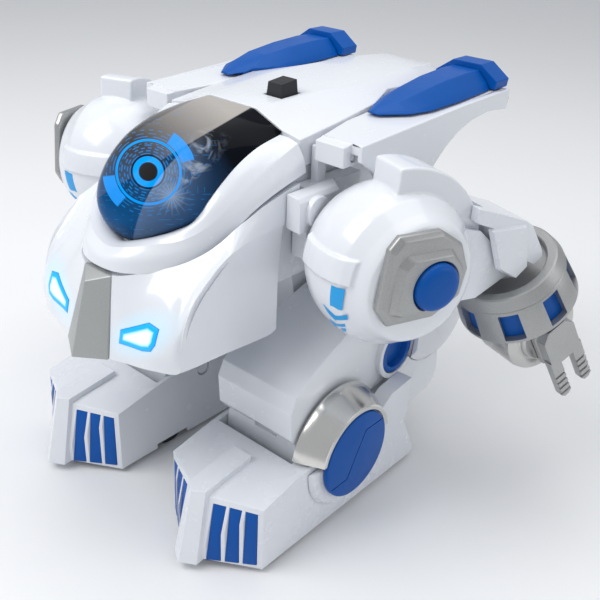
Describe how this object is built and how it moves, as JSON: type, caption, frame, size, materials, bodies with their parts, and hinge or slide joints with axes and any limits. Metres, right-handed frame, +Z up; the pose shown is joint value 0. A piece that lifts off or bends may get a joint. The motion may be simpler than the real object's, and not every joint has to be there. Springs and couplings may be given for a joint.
{
  "type": "toy robot",
  "caption": "Crouching two-legged toy robot with a cockpit torso, swept-back wings, ball-shouldered arms with fork grippers, and wedge feet on rollers.",
  "frame": {"origin": "on the floor, under the middle of the bounding box", "axes": "+Z up, the robot faces -Y, its left side is +X; the Y-Z plane is the plane of symmetry"},
  "size_m": [0.3036, 0.246, 0.202],
  "materials": {
    "white": "gloss cool white",
    "blue": "gloss royal blue",
    "silver": "satin silver paint on plastic",
    "bright": "bright plated",
    "display": "dark display lens with a blue ring pattern",
    "black": "matt black",
    "eye": "lit cyan lens",
    "board": "green circuit board"
  },
  "bodies": {
    "torso": {"roof_cover": "white", "belly_shell": "white", "cockpit_hood": "white", "windshield": "display", "face_mask": "white", "nose_keel": "silver", "left_eye_lens": "eye", "right_eye_lens": "eye", "circuit_board": "board", "battery_pack": "black", "left_shoulder_bracket": "white", "right_shoulder_bracket": "white"},
    "power_button": {"power_button": "black"},
    "left_wing": {"left_wing": "white", "left_booster": "blue", "left_booster_nozzle": "blue"},
    "left_arm": {"left_shoulder_shell": "white", "left_shoulder_cap": "silver", "left_shoulder_button": "blue", "left_upper_arm": "white", "left_arm_cover": "white"},
    "left_forearm": {"left_forearm_drum": "silver", "left_drum_liner": "blue", "left_wrist": "silver"},
    "left_hand": {"left_gripper": "silver"},
    "left_leg": {"left_leg_shell": "white", "left_thigh_port": "blue", "left_hip_disc": "white"},
    "left_foot": {"left_foot_shell": "white", "left_toe_insert": "blue", "left_ankle_hub": "white", "left_ankle_disc": "blue", "left_ankle_ring": "bright"},
    "left_toe_caster": {"left_toe_caster": "white"},
    "left_front_roller": {"left_front_roller": "black"},
    "left_rear_roller": {"left_rear_roller": "black"},
    "right_wing": {"right_wing": "white", "right_booster": "blue", "right_booster_nozzle": "blue"},
    "right_arm": {"right_shoulder_shell": "white", "right_shoulder_cap": "silver", "right_shoulder_button": "blue", "right_upper_arm": "white", "right_arm_cover": "white"},
    "right_forearm": {"right_forearm_drum": "silver", "right_drum_liner": "blue", "right_wrist": "silver"},
    "right_hand": {"right_gripper": "silver"},
    "right_leg": {"right_leg_shell": "white", "right_thigh_port": "blue", "right_hip_disc": "white"},
    "right_foot": {"right_foot_shell": "white", "right_toe_insert": "blue", "right_ankle_hub": "white", "right_ankle_disc": "blue", "right_ankle_ring": "bright"},
    "right_toe_caster": {"right_toe_caster": "white"},
    "right_front_roller": {"right_front_roller": "black"},
    "right_rear_roller": {"right_rear_roller": "black"}
  },
  "joints": [
    {"name": "power_button_press", "type": "slide", "parent": "torso", "child": "power_button", "axis": [0, 0, -1], "range_m": [0, 0.0015], "stiffness_N_per_m": 300},
    {"name": "left_wing_hinge", "type": "hinge", "parent": "torso", "child": "left_wing", "pos_m": [0.055, -0.017, 0.1795], "axis": [1, 0, 0], "range_deg": [0, 25]},
    {"name": "left_shoulder_turn", "type": "hinge", "parent": "torso", "child": "left_arm", "pos_m": [0.089, -0.0209, 0.1406], "axis": [0.9397, -0.342, 0], "range_deg": [-20, 75]},
    {"name": "left_forearm_twist", "type": "hinge", "parent": "left_arm", "child": "left_forearm", "pos_m": [0.11192, 0.04206, 0.1276], "axis": [-0.1762, -0.484, 0.8571], "range_deg": [-90, 90]},
    {"name": "left_hand_turn", "type": "hinge", "parent": "left_forearm", "child": "left_hand", "pos_m": [0.1197, 0.06345, 0.08971], "axis": [0.9397, -0.342, 0], "range_deg": [-60, 60]},
    {"name": "left_hip", "type": "hinge", "parent": "torso", "child": "left_leg", "pos_m": [0.046, 0.055, 0.08], "axis": [1, 0, 0], "range_deg": [-5, 12]},
    {"name": "left_ankle", "type": "hinge", "parent": "left_leg", "child": "left_foot", "pos_m": [0.0509, -0.0275, 0.0388], "axis": [1, 0, 0], "range_deg": [-10, 7.5]},
    {"name": "left_toe_caster_roll", "type": "hinge", "parent": "left_foot", "child": "left_toe_caster", "pos_m": [0.0509, -0.096, 0.0036], "axis": [1, 0, 0], "continuous": true},
    {"name": "left_front_roller_roll", "type": "hinge", "parent": "left_foot", "child": "left_front_roller", "pos_m": [0.027, -0.051, 0.0105], "axis": [1, 0, 0], "continuous": true},
    {"name": "left_rear_roller_roll", "type": "hinge", "parent": "left_foot", "child": "left_rear_roller", "pos_m": [0.04, 0.024, 0.0052], "axis": [1, 0, 0], "continuous": true},
    {"name": "right_wing_hinge", "type": "hinge", "parent": "torso", "child": "right_wing", "pos_m": [-0.055, -0.017, 0.1795], "axis": [1, 0, 0], "range_deg": [0, 25]},
    {"name": "right_shoulder_turn", "type": "hinge", "parent": "torso", "child": "right_arm", "pos_m": [-0.089, -0.0209, 0.1406], "axis": [0.9397, 0.342, 0], "range_deg": [-20, 75]},
    {"name": "right_forearm_twist", "type": "hinge", "parent": "right_arm", "child": "right_forearm", "pos_m": [-0.11192, 0.04206, 0.1276], "axis": [0.1762, -0.484, 0.8571], "range_deg": [-90, 90]},
    {"name": "right_hand_turn", "type": "hinge", "parent": "right_forearm", "child": "right_hand", "pos_m": [-0.1197, 0.06345, 0.08971], "axis": [0.9397, 0.342, 0], "range_deg": [-60, 60]},
    {"name": "right_hip", "type": "hinge", "parent": "torso", "child": "right_leg", "pos_m": [-0.046, 0.055, 0.08], "axis": [1, 0, 0], "range_deg": [-5, 12]},
    {"name": "right_ankle", "type": "hinge", "parent": "right_leg", "child": "right_foot", "pos_m": [-0.0509, -0.0275, 0.0388], "axis": [1, 0, 0], "range_deg": [-10, 7.5]},
    {"name": "right_toe_caster_roll", "type": "hinge", "parent": "right_foot", "child": "right_toe_caster", "pos_m": [-0.0509, -0.096, 0.0036], "axis": [1, 0, 0], "continuous": true},
    {"name": "right_front_roller_roll", "type": "hinge", "parent": "right_foot", "child": "right_front_roller", "pos_m": [-0.027, -0.051, 0.0105], "axis": [1, 0, 0], "continuous": true},
    {"name": "right_rear_roller_roll", "type": "hinge", "parent": "right_foot", "child": "right_rear_roller", "pos_m": [-0.04, 0.024, 0.0052], "axis": [1, 0, 0], "continuous": true}
  ]
}
